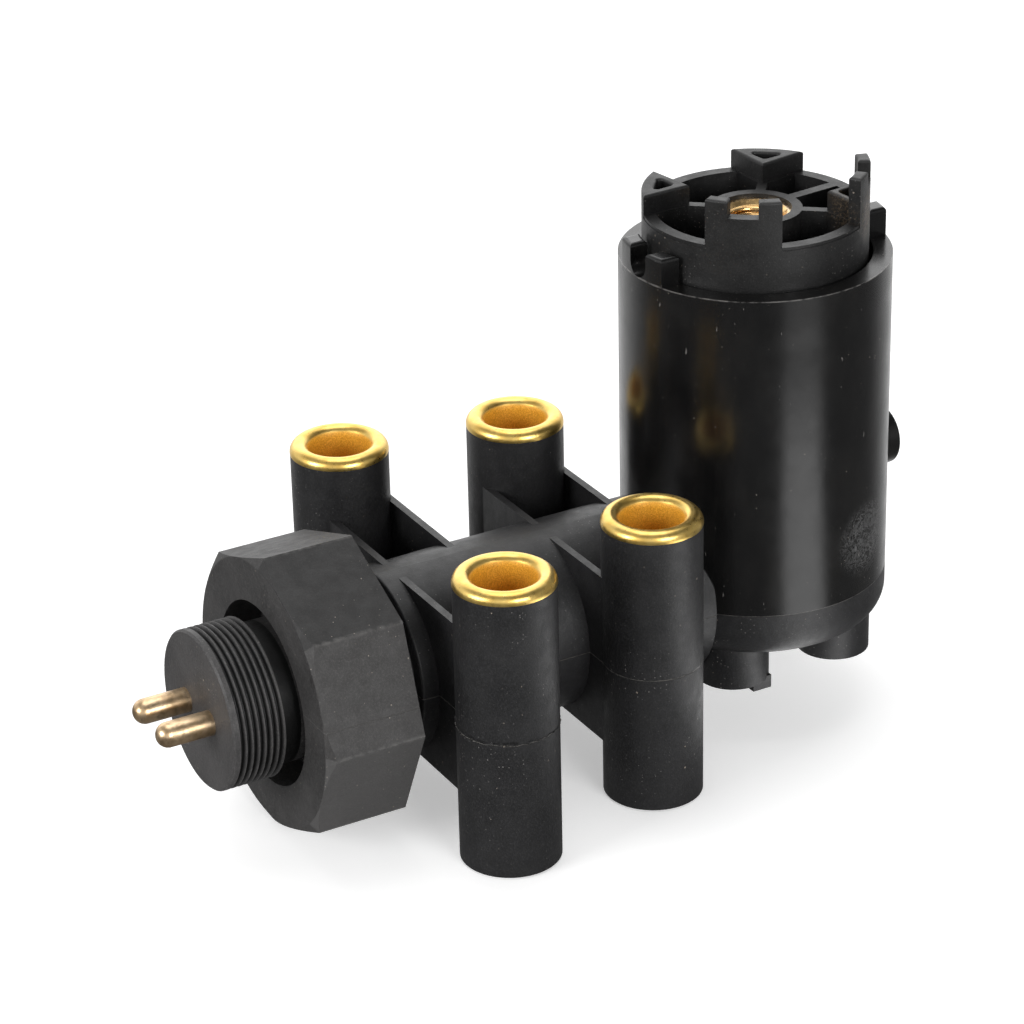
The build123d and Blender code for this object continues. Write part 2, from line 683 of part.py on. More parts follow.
with BuildPart() as rotor:
    # Ring, with a fine step round its top
    ring_steps = (
        (RING_BOTTOM, RING_TOP - RING_STEP_H, RING_R),
        (RING_TOP - RING_STEP_H, RING_TOP, RING_R - RING_STEP),
    )
    for bottom, top, radius in ring_steps:
        with BuildSketch(across_rotor(bottom)):
            Circle(radius)
            Circle(RING_INNER_R, mode=Mode.SUBTRACT)
        extrude(amount=top - bottom)
    for bottom, top, radius in ((*FLOOR_Z, RING_R), (HUB_BOTTOM, RING_TOP, HUB_R)):
        with BuildSketch(across_rotor(bottom)):
            Circle(radius)
        extrude(amount=top - bottom)

    # Spokes
    spoke_widths = {angle: SPOKE_W for angle in ALL_STATIONS} | {EXTRA_SPOKE_ANGLE: EXTRA_SPOKE_W}
    for angle, width in spoke_widths.items():
        with BuildSketch(across_rotor(FLOOR_Z[0], angle)):
            with Locations(((HUB_R + RING_INNER_R) / 2, 0)):
                Rectangle(RING_INNER_R - HUB_R + 1.0, width)
        extrude(amount=RING_TOP - FLOOR_Z[0])

    # Wider web of each block, up to the ring's top
    for angle, apex_r in ALL_STATIONS.items():
        with BuildSketch(across_rotor(FLOOR_Z[0], angle)):
            Circle(WALL_MIDDLE_R)
            Polygon(*block_corners(apex_r - WEB_MARGIN, WEB_HALF_ANGLE), align=None, mode=Mode.INTERSECT)
        extrude(amount=RING_TOP - FLOOR_Z[0])
    add(station_pieces)

    # Holes through the blocks, and the bore of the hub
    for angle in ALL_STATIONS:
        with BuildSketch(across_rotor(FLOOR_Z[1], angle)) as web_hole:
            Polygon(*HOLE_CORNERS, align=None)
            fillet(web_hole.vertices(), HOLE_CORNER_R)
        extrude(amount=BLOCK_TOP - FLOOR_Z[1] - ROTOR_EDGE_R, mode=Mode.SUBTRACT)
    for bottom, top, radius in ((HUB_BOTTOM, INSERT_Z[0], SHAFT_R), (INSERT_Z[0], RING_TOP, INSERT_HOLE_R)):
        with BuildSketch(across_rotor(bottom)):
            Circle(radius)
        extrude(amount=top - bottom, mode=Mode.SUBTRACT)
rotor.part.label = "rotor"
export_step(rotor.part, "parts/rotor.step")

with BuildPart() as threaded_insert:
    with BuildSketch(ROTOR_SECTION):
        with BuildLine():
            Polyline(
                (INSERT_BORE_R, INSERT_Z[0]),
                (INSERT_R, INSERT_Z[0]),
                (INSERT_R, INSERT_Z[1]),
                (INSERT_MOUTH_R, INSERT_Z[1]),
                (INSERT_THREAD_R, INSERT_Z[1] - INSERT_MOUTH_R + INSERT_THREAD_R),
                (INSERT_BORE_R, INSERT_Z[1] - INSERT_CHAMFER),
                close=True,
            )
        make_face()
    revolve(axis=ROTOR_AXIS)
threaded_insert.part.label = "threaded_insert"
export_step(threaded_insert.part, "parts/threaded_insert.step")
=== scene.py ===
import json
import math
import random

import bmesh
import bpy
from mathutils import Matrix, Vector


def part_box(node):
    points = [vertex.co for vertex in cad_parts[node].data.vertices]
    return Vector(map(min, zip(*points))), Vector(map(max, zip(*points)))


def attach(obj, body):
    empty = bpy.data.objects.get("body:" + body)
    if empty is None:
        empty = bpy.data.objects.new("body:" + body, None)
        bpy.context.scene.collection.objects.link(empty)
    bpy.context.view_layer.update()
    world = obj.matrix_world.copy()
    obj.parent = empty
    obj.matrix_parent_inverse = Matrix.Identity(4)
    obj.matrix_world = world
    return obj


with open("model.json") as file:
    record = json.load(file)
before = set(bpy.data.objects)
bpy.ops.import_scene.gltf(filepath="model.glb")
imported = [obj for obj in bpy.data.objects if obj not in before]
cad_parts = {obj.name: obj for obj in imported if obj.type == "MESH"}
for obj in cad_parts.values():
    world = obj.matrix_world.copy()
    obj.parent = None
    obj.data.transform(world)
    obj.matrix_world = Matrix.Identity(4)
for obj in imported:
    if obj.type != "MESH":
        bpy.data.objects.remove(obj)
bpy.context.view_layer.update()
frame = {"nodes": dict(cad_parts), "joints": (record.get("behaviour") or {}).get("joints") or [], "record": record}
MM = 0.001


def corner_mm(node, end):
    """One corner of a CAD node's box, in millimetres."""
    return Vector(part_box(node)[end]) / MM


def middle_mm(node):
    return (corner_mm(node, 0) + corner_mm(node, 1)) / 2


# Places taken from the frame, in millimetres
ROTOR_X = next(j["pos_m"][0] for j in frame["joints"] if j["name"] == "rotor_turn") / MM
AXIS_Z = (corner_mm("contact_pin_front", 0).z + corner_mm("contact_pin_front", 1).z) / 2
OUTER_TUBE = middle_mm("bush_front_outer")
INSERT_TOP = corner_mm("threaded_insert", 1).z
ROTOR_TOP = corner_mm("rotor", 1).z
NUT_FRONT = corner_mm("retaining_nut", 0).x
BUSHES = ("bush_front_outer", "bush_front_inner", "bush_rear_outer", "bush_rear_inner")

# Sizes of the CAD shapes that the materials follow, in millimetres
CASE_R = 20.4
RIM_Z = 72.9
BOSS_FACE_R = 24.6  # the polished end of the rear boss starts here, from the rotor's axis
TUBE_CLEAR_R = 7.9  # just outside a tube
THREAD_R = 12.0
THREAD_START_X = -54.6
M8_THREAD_R = 4.0
M8_PITCH = 1.25
BUSH_BORE_R = 4.65
RIM_OVERHANG = 0.03  # how far a bush's rim stands out past its tube
NUT_CORNER_R = 21.97
NUT_FLAT_R = 20.32  # where the nut's front face ends and its flats start
NUT_TURN = -2.61  # degrees that the nut's octagon is turned about the barrel axis
NUT_LINE_UP = 3.0  # height of the nut's parting line above the barrel axis

# Middles of the local marks, in millimetres
PACKED_DUST_PLACE = (ROTOR_X + 11.0, -10.5, 80.0)
SMUDGE_PLACE = (ROTOR_X + 8.0, -18.8, 31.0)

# Colours
WORN_PLASTIC = (0.13, 0.125, 0.12)
# tone of the nut's parting line, and a painted highlight on the housing's rim edge
LINE_TONE_AND_RIM_HIGHLIGHT = (0.12, 0.115, 0.11)
CHIPPED_PLASTIC = (0.14, 0.132, 0.12)
# painted highlight on the rotor's top faces and edges
ROTOR_TOP_HIGHLIGHT = (0.06, 0.06, 0.06)
# painted shadow just above the housing's parting line
PARTING_LINE_SHADOW = (0.0005, 0.0005, 0.0005)
# thread grooves darkened almost to black
GROOVE_DARKENING = (0.0015, 0.0015, 0.0015)
FINE_DUST = (0.2, 0.19, 0.18)
COARSE_DUST = (0.3, 0.25, 0.2)
NUT_DUST = (0.3, 0.26, 0.22)
GLOSS_DUST = (0.22, 0.2, 0.17)
PACKED_DUST = (0.2, 0.14, 0.085)
SMUDGE = (0.17, 0.17, 0.17)
BRASS_DENT = (0.25, 0.15, 0.05)
BRASS_TARNISH = (0.5, 0.42, 0.33)
GRAIN_GAIN = 2.6  # how much lighter the plastic's grain is than its light tone

# Painted shade and painted light on three of the nut's flats: angle of the flat, colour, share of that colour
NUT_FLAT_PAINTED_SHADING = (
    (67.5, (0.006, 0.0056, 0.0056), 0.75),
    (22.5, (0.05, 0.047, 0.045), 0.25),
    (-22.5, (0.075, 0.073, 0.072), 0.6),
)

# Camera
CAMERA_AZIMUTH = -28.711
CAMERA_ELEVATION = 26.107
CAMERA_ROLL = -1.369
CAMERA_PLACE = (-0.233463, -0.420805, 0.275433)
CAMERA_LENS = 127.5

# Area lights: name, place, size, power
LIGHT_AIM = (0, 0, 0.035)
LIGHTS = (
    ("left", (-1.1, -0.05, 0.45), (0.5, 0.4), 6.0),
    ("right", (0.05, -1.1, 0.4), (0.5, 0.4), 6.0),
    ("top", (0.1, 0.15, 1.0), (0.6, 0.6), 2.5),
)

# Strip of light that gloss sees on the floor: angles about the rotor's axis, distances from it
STRIP_RISE = (-104, -95)
STRIP_FALL = (-73, -64)
STRIP_FAR_END = (140, 149)
STRIP_AGAIN = (168, 172)
STRIP_AGAIN_SHARE = 0.3
STRIP_GLOW = 2.35
BACKDROP_ANGLE = 65
BACKDROP_GLOW = (0.17, 0.9)
TABLE_GLOW = 0.4


class Shader:
    """One material's nodes, with sizes in millimetres."""

    def __init__(self, name):
        self.material = bpy.data.materials.new(name)
        self.material.use_nodes = True
        self.tree = self.material.node_tree
        self.bsdf = self.tree.nodes["Principled BSDF"]
        coordinates = self.node("ShaderNodeTexCoord")
        scale = self.node("ShaderNodeVectorMath", operation="SCALE")
        self.link(coordinates.outputs["Object"], scale.inputs[0])
        scale.inputs["Scale"].default_value = 1 / MM
        self.place = scale.outputs[0]

    def node(self, kind, **settings):
        node = self.tree.nodes.new(kind)
        for key, value in settings.items():
            setattr(node, key, value)
        return node

    def link(self, source, target):
        self.tree.links.new(source, target)

    def feed(self, socket, value):
        """Sets a socket to a number, or links it to another socket."""
        if isinstance(value, bpy.types.NodeSocket):
            self.link(value, socket)
        else:
            socket.default_value = value

    def math(self, operation, a, b=0.0, c=0.0):
        node = self.node("ShaderNodeMath", operation=operation)
        for socket, value in zip(node.inputs, (a, b, c)):
            self.feed(socket, value)
        return node.outputs[0]

    def times(self, a, b):
        return self.math("MULTIPLY", a, b)

    def span(self, value, low, high, to_low=0.0, to_high=1.0):
        """Smoothly maps low..high to to_low..to_high."""
        node = self.node("ShaderNodeMapRange", interpolation_type="SMOOTHSTEP")
        for socket, number in zip(node.inputs, (value, low, high, to_low, to_high)):
            self.feed(socket, number)
        return node.outputs[0]

    def stretched(self, scales, turn=(0.0, 0.0, 0.0)):
        """The place in millimetres, turned and scaled along each axis."""
        node = self.node("ShaderNodeMapping")
        self.link(self.place, node.inputs["Vector"])
        node.inputs["Rotation"].default_value = turn
        node.inputs["Scale"].default_value = scales
        return node.outputs[0]

    def noise(self, per_mm, detail=3.0, roughness=0.55, place=None, distortion=0.0):
        node = self.node("ShaderNodeTexNoise")
        self.link(place or self.place, node.inputs["Vector"])
        node.inputs["Scale"].default_value = per_mm
        node.inputs["Detail"].default_value = detail
        node.inputs["Roughness"].default_value = roughness
        node.inputs["Distortion"].default_value = distortion
        return node.outputs["Fac"]

    def specks(self, per_mm, radius, share):
        """Small round specks in some of the cells: 1 inside a speck, 0 outside."""
        cells = self.node("ShaderNodeTexVoronoi")
        self.link(self.place, cells.inputs["Vector"])
        cells.inputs["Scale"].default_value = per_mm
        chosen = self.node("ShaderNodeSeparateColor")
        self.link(cells.outputs["Color"], chosen.inputs[0])
        size = self.times(chosen.outputs[1], radius * per_mm)
        inside = self.math("LESS_THAN", cells.outputs["Distance"], size)
        return self.times(inside, self.math("GREATER_THAN", chosen.outputs[0], 1 - share))

    def mix(self, share, a, b):
        """A colour between a and b."""
        node = self.node("ShaderNodeMix", data_type="RGBA")
        self.feed(node.inputs["Factor"], share)
        for socket, value in ((node.inputs[6], a), (node.inputs[7], b)):
            self.feed(socket, (*value, 1.0) if isinstance(value, tuple) else value)
        return node.outputs[2]

    def tint(self, color, mask, strength, tone):
        """Lays a tone over a colour inside a mask."""
        return self.mix(self.times(mask, strength), color, tone)

    def blend(self, share, a, b):
        """A number between a and b."""
        return self.math("MULTIPLY_ADD", share, self.math("SUBTRACT", b, a), a)

    def blend_vectors(self, share, a, b):
        """A vector between a and b."""
        node = self.node("ShaderNodeMix", data_type="VECTOR")
        self.link(share, node.inputs["Factor"])
        self.link(a, node.inputs[4])
        self.link(b, node.inputs[5])
        return node.outputs[1]

    def axes(self):
        node = self.node("ShaderNodeSeparateXYZ")
        self.link(self.place, node.inputs[0])
        return node.outputs

    def hypotenuse(self, a, b):
        return self.math("SQRT", self.math("ADD", self.times(a, a), self.times(b, b)))

    def distance_from(self, x, y):
        """Distance in millimetres from an upright axis."""
        along_x, along_y, _ = self.axes()
        return self.hypotenuse(self.math("SUBTRACT", along_x, x), self.math("SUBTRACT", along_y, y))

    def distance_to(self, point):
        """Distance in millimetres to a point."""
        node = self.node("ShaderNodeVectorMath", operation="DISTANCE")
        self.link(self.place, node.inputs[0])
        node.inputs[1].default_value = point
        return node.outputs["Value"]

    def radius_about_barrel(self):
        _, y, z = self.axes()
        return self.hypotenuse(y, self.math("SUBTRACT", z, AXIS_Z))

    def ridge(self, value, centre, half_width):
        """1 where a value is at the centre, falling to 0 at half_width from it."""
        gap = self.math("ABSOLUTE", self.math("SUBTRACT", value, centre))
        return self.span(gap, 0.0, half_width, 1.0, 0.0)

    def bump(self, height, depth_mm, after=None):
        node = self.node("ShaderNodeBump")
        node.inputs["Strength"].default_value = 1.0
        node.inputs["Distance"].default_value = depth_mm * MM
        self.link(height, node.inputs["Height"])
        if after is not None:
            self.link(after, node.inputs["Normal"])
        return node.outputs[0]

    def finish(self, color, roughness, normal, metallic=0.0, specular=0.5):
        self.feed(self.bsdf.inputs["Base Color"], color)
        self.feed(self.bsdf.inputs["Roughness"], roughness)
        self.feed(self.bsdf.inputs["Normal"], normal)
        self.feed(self.bsdf.inputs["Metallic"], metallic)
        self.bsdf.inputs["Specular IOR Level"].default_value = specular
        return self.material


def moulded_plastic(name, dark, light, rough=(0.5, 0.62), dust=0.12):
    """Matt black plastic filled with fibre: grain, cloudy tone, dust specks and hairline scratches."""
    s = Shader(name)
    cloud = s.noise(0.09, detail=4)
    grain = s.noise(3.4, detail=3, roughness=0.75)
    color = s.mix(s.span(cloud, 0.35, 0.65), dark, light)
    color = s.mix(s.span(grain, 0.42, 0.75, 0.0, 0.5), color, tuple(GRAIN_GAIN * c for c in light))
    hair_place = s.stretched((0.12, 0.9, 2.6), turn=(0.4, 0.7, 0.2))
    hair = s.ridge(s.noise(1.0, detail=1, place=hair_place, distortion=0.6), 0.5, 0.006)
    hair = s.times(hair, s.span(s.noise(0.12, detail=2), 0.58, 0.75))
    color = s.tint(color, hair, 0.3, WORN_PLASTIC)
    patch = s.span(s.noise(0.07, detail=3), 0.45, 0.65, 0.15, 1.0)
    fine = s.times(s.specks(2.6, radius=0.11, share=2 * dust), patch)
    color = s.tint(color, fine, 0.6, FINE_DUST)
    coarse = s.times(s.specks(1.2, radius=0.15, share=dust), patch)
    color = s.tint(color, coarse, 0.7, COARSE_DUST)
    roughness = s.span(s.noise(0.5, detail=4), 0.3, 0.7, *rough)
    normal = s.bump(grain, 0.025)
    normal = s.bump(s.noise(0.7, detail=3), 0.04, normal)
    return s, color, roughness, normal


def plain_moulded(name, dark, light, **options):
    s, color, roughness, normal = moulded_plastic(name, dark, light, **options)
    return s.finish(color, roughness, normal)


def nut_plastic():
    """The nut's plastic: painted shade on one flat and painted light on two others, a fine parting line and pale
    worn corners.
    """
    s, color, roughness, normal = moulded_plastic(
        "nut_plastic", (0.018, 0.0172, 0.017), (0.031, 0.0297, 0.0294)
    )
    _, y, z = s.axes()
    radius = s.radius_about_barrel()
    angle = s.math("ARCTAN2", s.math("SUBTRACT", z, AXIS_Z), s.times(y, -1.0))
    on_flats = s.span(radius, NUT_FLAT_R - 0.08, NUT_FLAT_R)
    # Painted shade on the flat at 67.5 degrees and painted light on the flats at 22.5 and -22.5 degrees, set by
    # each flat's angle about the barrel
    for turn, tone, share in NUT_FLAT_PAINTED_SHADING:
        off = s.math("ABSOLUTE", s.math("SUBTRACT", angle, math.radians(turn + NUT_TURN)))
        flat_painted_shading = s.times(s.span(off, math.radians(22.2), math.radians(22.8), share, 0.0), on_flats)
        color = s.mix(flat_painted_shading, color, tone)
    color = s.tint(color, s.specks(1.5, radius=0.12, share=0.18), 0.6, NUT_DUST)
    line = s.ridge(z, AXIS_Z + NUT_LINE_UP, 0.1)
    color = s.tint(color, line, 0.35, LINE_TONE_AND_RIM_HIGHLIGHT)
    corner = s.span(radius, NUT_CORNER_R - 0.17, NUT_CORNER_R)
    wear = s.times(corner, s.span(s.noise(0.9, detail=4), 0.35, 0.65))
    color = s.tint(color, wear, 0.4, WORN_PLASTIC)
    return s.finish(color, roughness, s.bump(line, 0.05, normal))


def plug_plastic():
    """The plug's plastic, with the thread's grooves darkened almost to black and worn crests."""
    s, color, roughness, normal = moulded_plastic(
        "plug_plastic", (0.028, 0.027, 0.027), (0.042, 0.04, 0.04)
    )
    x, _, _ = s.axes()
    radius = s.radius_about_barrel()
    before_nut = s.math("LESS_THAN", x, NUT_FRONT + 1.0)
    groove = s.times(s.span(radius, THREAD_R - 0.45, THREAD_R - 0.02, 1, 0), before_nut)
    groove = s.times(groove, s.span(x, THREAD_START_X, THREAD_START_X + 0.3))
    # The thread's grooves darkened almost to black
    color = s.mix(groove, color, GROOVE_DARKENING)
    crest = s.times(s.span(radius, THREAD_R - 0.12, THREAD_R), s.span(s.noise(0.8, detail=3), 0.4, 0.7))
    color = s.tint(color, crest, 0.15, WORN_PLASTIC)
    turned = s.noise(1.0, detail=2, place=s.stretched((0.5, 3.2, 0.35)))
    return s.finish(color, roughness, s.bump(turned, 0.03, normal))


def rotor_plastic():
    """The rotor's plastic, with brown dust packed beside one of its walls and a painted highlight along its top.
    """
    s, color, roughness, normal = moulded_plastic(
        "rotor_plastic", (0.005, 0.005, 0.0052), (0.009, 0.0088, 0.0088), rough=(0.42, 0.52), dust=0.22
    )
    _, _, z = s.axes()
    clumps = s.span(s.noise(2.6, detail=5, roughness=0.8), 0.48, 0.6)
    packed = s.times(s.span(s.distance_to(PACKED_DUST_PLACE), 1.0, 5.5, 1, 0), clumps)
    color = s.tint(color, packed, 0.75, PACKED_DUST)
    # Painted highlight on the rotor's top faces and top edges
    color = s.tint(color, s.ridge(z, ROTOR_TOP, 0.3), 0.35, ROTOR_TOP_HIGHLIGHT)
    return s.finish(color, roughness, normal, specular=0.42)


def parting_line(s, z, color, normal):
    """The line round the housing at the barrel axis, chipped and ragged round the front outer tube, with a painted
    shadow just above it there.
    """
    from_tube = s.distance_from(OUTER_TUBE.x, OUTER_TUBE.y)
    ragged = s.span(from_tube, TUBE_CLEAR_R, TUBE_CLEAR_R + 0.5, 0.9, 0.05)
    wander = s.times(s.math("SUBTRACT", s.noise(0.55, detail=5, roughness=0.65), 0.5), ragged)
    above_line = s.math("SUBTRACT", s.math("ADD", z, wander), AXIS_Z)
    # Painted shadow in a band just above the parting line, round the front outer tube
    shade = s.times(s.ridge(above_line, 0.35, 0.3), s.span(ragged, 0.1, 0.8))
    shade = s.times(shade, s.span(s.noise(0.5, detail=4, roughness=0.7), 0.46, 0.54))
    color = s.mix(shade, color, PARTING_LINE_SHADOW)
    chips = s.times(s.ridge(above_line, 0.0, 0.11), s.span(s.noise(0.9, detail=4), 0.35, 0.6, 0.35, 1.0))
    color = s.tint(color, chips, 0.8, CHIPPED_PLASTIC)
    return color, s.bump(s.span(above_line, -0.12, 0.12), 0.16, normal)


def polished_wall(s, z, from_rotor):
    """Colour, roughness and relief of the polished wall, with its smudge, dust and flecks, and a painted highlight
    round the rim's outer edge.
    """
    smear = s.ridge(s.noise(0.5, detail=4, roughness=0.7, distortion=2.2), 0.5, 0.035)
    haze = s.span(s.noise(1.6, detail=5, roughness=0.75), 0.35, 0.75, 0.0, 0.5)
    near = s.span(s.distance_to(SMUDGE_PLACE), 2.5, 7.0, 1, 0)
    smudge = s.times(near, s.math("MAXIMUM", smear, haze))
    veil = s.span(s.noise(0.25, detail=4, place=s.stretched((1, 1, 0.35))), 0.35, 0.8)
    color = s.mix(veil, (0.003, 0.003, 0.0031), (0.0068, 0.0064, 0.006))
    color = s.tint(color, smudge, 0.6, SMUDGE)
    dusty = s.span(s.noise(0.08, detail=3), 0.45, 0.62, 0.1, 1.0)
    dust = s.times(s.specks(1.5, radius=0.11, share=0.2), dusty)
    color = s.tint(color, dust, 0.6, GLOSS_DUST)
    fleck_place = s.stretched((1.6, 1.6, 0.5), turn=(0.5, 0.3, 0.2))
    flecks = s.span(s.noise(1.0, detail=2, place=fleck_place), 0.74, 0.78)
    color = s.tint(color, flecks, 0.5, FINE_DUST)
    # Painted highlight round the outer edge of the rim, patchy along it
    rim_edge_highlight = s.times(s.ridge(from_rotor, CASE_R, 0.22), s.ridge(z, RIM_Z, 0.25))
    color = s.tint(color, rim_edge_highlight, s.span(s.noise(0.6, detail=4), 0.3, 0.6), LINE_TONE_AND_RIM_HIGHLIGHT)
    roughness = s.span(s.noise(0.2, detail=5), 0.3, 0.7, 0.19, 0.27)
    roughness = s.math("ADD", roughness, s.times(smudge, 0.3))
    relief = s.bump(s.noise(0.12, detail=2), 0.05)
    relief = s.bump(s.noise(1.9, detail=3, roughness=0.7), 0.006, relief)
    relief = s.bump(s.span(z, RIM_Z - 8.5, RIM_Z - 3.5), 0.08, relief)
    return color, roughness, relief


def housing_plastic():
    """The housing's plastic: polished on the rotor housing above the parting line, matt elsewhere."""
    s, matt_color, matt_rough, matt_normal = moulded_plastic(
        "housing_plastic", (0.0065, 0.0065, 0.007), (0.012, 0.0118, 0.0125), rough=(0.42, 0.52)
    )
    x, _, z = s.axes()
    from_rotor = s.distance_from(ROTOR_X, 0.0)
    matt_color, matt_normal = parting_line(s, z, matt_color, matt_normal)
    wall_color, wall_rough, wall_normal = polished_wall(s, z, from_rotor)
    inside_case = s.span(from_rotor, CASE_R + 0.05, CASE_R + 0.15, 1, 0)
    behind_rotor = s.math("GREATER_THAN", x, ROTOR_X)
    on_boss = s.times(behind_rotor, s.span(from_rotor, BOSS_FACE_R, BOSS_FACE_R + 0.1, 1, 0))
    above = s.span(z, AXIS_Z - 0.05, AXIS_Z + 0.05)
    gloss = s.times(s.math("MAXIMUM", inside_case, on_boss), above)
    color = s.mix(gloss, matt_color, wall_color)
    roughness = s.blend(gloss, matt_rough, wall_rough)
    return s.finish(color, roughness, s.blend_vectors(gloss, matt_normal, wall_normal))


def bush_brass():
    """Rolled brass: bright rims, a dull amber bore, and small dark dents."""
    s = Shader("bush_brass")
    bore = 0.0
    for name in BUSHES:
        middle = middle_mm(name)
        from_bush = s.distance_from(middle.x, middle.y)
        bore = s.math("MAXIMUM", bore, s.span(from_bush, BUSH_BORE_R + 0.08, BUSH_BORE_R + 0.3, 1, 0))
    cloud = s.span(s.noise(0.45, detail=4), 0.35, 0.7)
    rim = s.mix(cloud, (0.9, 0.64, 0.2), (0.8, 0.52, 0.13))
    grain = s.span(s.noise(5.0, detail=3, roughness=0.8), 0.35, 0.7)
    amber = s.mix(grain, (0.6, 0.27, 0.015), (0.95, 0.5, 0.05))
    dents = s.specks(2.0, radius=0.14, share=0.08)
    color = s.tint(s.mix(bore, rim, amber), dents, 0.25, BRASS_DENT)
    roughness = s.blend(bore, s.span(s.noise(1.5, detail=4), 0.3, 0.7, 0.27, 0.36), 0.55)
    normal = s.bump(s.noise(1.0, detail=2, place=s.stretched((0.3, 0.3, 5.0))), 0.004)
    normal = s.bump(s.noise(1.6, detail=4, roughness=0.65), 0.007, normal)
    return s.finish(color, roughness, normal, metallic=s.blend(bore, 1.0, 0.1))


def insert_brass():
    """Machined brass, with the M8 thread's turns showing in the bore."""
    s = Shader("insert_brass")
    x, y, z = s.axes()
    color = s.mix(s.span(s.noise(0.6, detail=4), 0.35, 0.7), (0.9, 0.62, 0.28), (0.78, 0.48, 0.2))
    dull = s.span(s.noise(1.5, detail=4), 0.3, 0.6)
    face = s.times(s.span(z, INSERT_TOP - 0.1, INSERT_TOP - 0.02), dull)
    color = s.tint(color, face, 0.6, BRASS_TARNISH)
    angle = s.math("ARCTAN2", y, s.math("SUBTRACT", x, ROTOR_X))
    turns = s.math("SINE", s.math("SUBTRACT", s.times(z, 2 * math.pi / M8_PITCH), angle))
    in_bore = s.span(s.distance_from(ROTOR_X, 0.0), M8_THREAD_R, M8_THREAD_R + 0.1, 1, 0)
    roughness = s.span(s.noise(1.8, detail=4), 0.3, 0.7, 0.16, 0.3)
    return s.finish(color, roughness, s.bump(s.times(turns, in_bore), 0.3), metallic=1.0)


def metal(name, light, deep, rough=(0.25, 0.4), stain=None):
    s = Shader(name)
    color = s.mix(s.span(s.noise(0.6, detail=4), 0.3, 0.7), light, deep)
    if stain is not None:
        color = s.mix(s.span(s.noise(0.7, detail=3, roughness=0.5), 0.45, 0.7, 0.0, 0.7), color, stain)
    roughness = s.span(s.noise(2.0, detail=3), 0.3, 0.7, *rough)
    return s.finish(color, roughness, s.bump(s.noise(3.0, detail=3), 0.012), metallic=1.0)


def make_materials():
    """One material for each slot of the record."""
    return {
        "housing_plastic": housing_plastic(),
        "nut_plastic": nut_plastic(),
        "plug_plastic": plug_plastic(),
        "rotor_plastic": rotor_plastic(),
        "bush_brass": bush_brass(),
        "insert_brass": insert_brass(),
        "pin_bronze": metal(
            "pin_bronze", (0.9, 0.68, 0.44), (0.66, 0.46, 0.26), rough=(0.3, 0.38), stain=(0.35, 0.24, 0.14)
        ),
        "seal_rubber": plain_moulded(
            "seal_rubber", (0.02, 0.02, 0.02), (0.03, 0.03, 0.03), rough=(0.7, 0.85)
        ),
        "copper_wire": metal("copper_wire", (0.8, 0.35, 0.16), (0.62, 0.24, 0.1)),
        "bobbin_plastic": plain_moulded("bobbin_plastic", (0.5, 0.48, 0.4), (0.6, 0.57, 0.5)),
        "bearing_bronze": metal("bearing_bronze", (0.62, 0.42, 0.22), (0.5, 0.32, 0.15)),
        "inner_steel": metal("inner_steel", (0.56, 0.57, 0.58), (0.42, 0.42, 0.43)),
        "carrier_aluminium": metal("carrier_aluminium", (0.75, 0.75, 0.77), (0.6, 0.6, 0.62)),
    }


def give_materials(materials):
    for entry in frame["record"]["subparts"]:
        node = frame["nodes"][entry["node"]]
        node.data.materials.clear()
        node.data.materials.append(materials[entry["material_slot"]])


def make_camera():
    azimuth, elevation, roll = map(math.radians, (CAMERA_AZIMUTH, CAMERA_ELEVATION, CAMERA_ROLL))
    outward = math.cos(elevation)
    back = Vector((math.sin(azimuth) * outward, -math.cos(azimuth) * outward, math.sin(elevation)))
    level = Vector((math.cos(azimuth), math.sin(azimuth), 0))
    upright = back.cross(level)
    right = math.cos(roll) * level + math.sin(roll) * upright
    up = math.cos(roll) * upright - math.sin(roll) * level
    data = bpy.data.cameras.new("camera")
    data.lens = CAMERA_LENS
    data.sensor_width = 36.0
    data.clip_start = 0.01
    data.clip_end = 50.0
    camera = bpy.data.objects.new("camera", data)
    rows = [(right[i], up[i], back[i], CAMERA_PLACE[i]) for i in range(3)]
    camera.matrix_world = Matrix((*rows, (0, 0, 0, 1)))
    bpy.context.scene.collection.objects.link(camera)
    bpy.context.scene.camera = camera


def floor_glow(s):
    """What gloss sees of the floor: a dark studio table with a strip of light on it."""
    x, y, _ = s.axes()
    angle = s.math("ARCTAN2", y, s.math("SUBTRACT", x, ROTOR_X))
    distance = s.distance_from(ROTOR_X, 0.0)
    rise = s.span(angle, *map(math.radians, STRIP_RISE))
    fall = s.span(angle, *map(math.radians, STRIP_FALL), 1, 0)
    near = s.span(distance, *STRIP_FAR_END, 1, 0)
    again = s.span(distance, *STRIP_AGAIN, 0, STRIP_AGAIN_SHARE)
    strip = s.times(s.times(rise, fall), s.math("ADD", near, again))
    behind = s.math("COSINE", s.math("SUBTRACT", angle, math.radians(BACKDROP_ANGLE)))
    backdrop = s.span(behind, 0.1, 0.9, *BACKDROP_GLOW)
    return s.math("MULTIPLY_ADD", strip, STRIP_GLOW, backdrop)


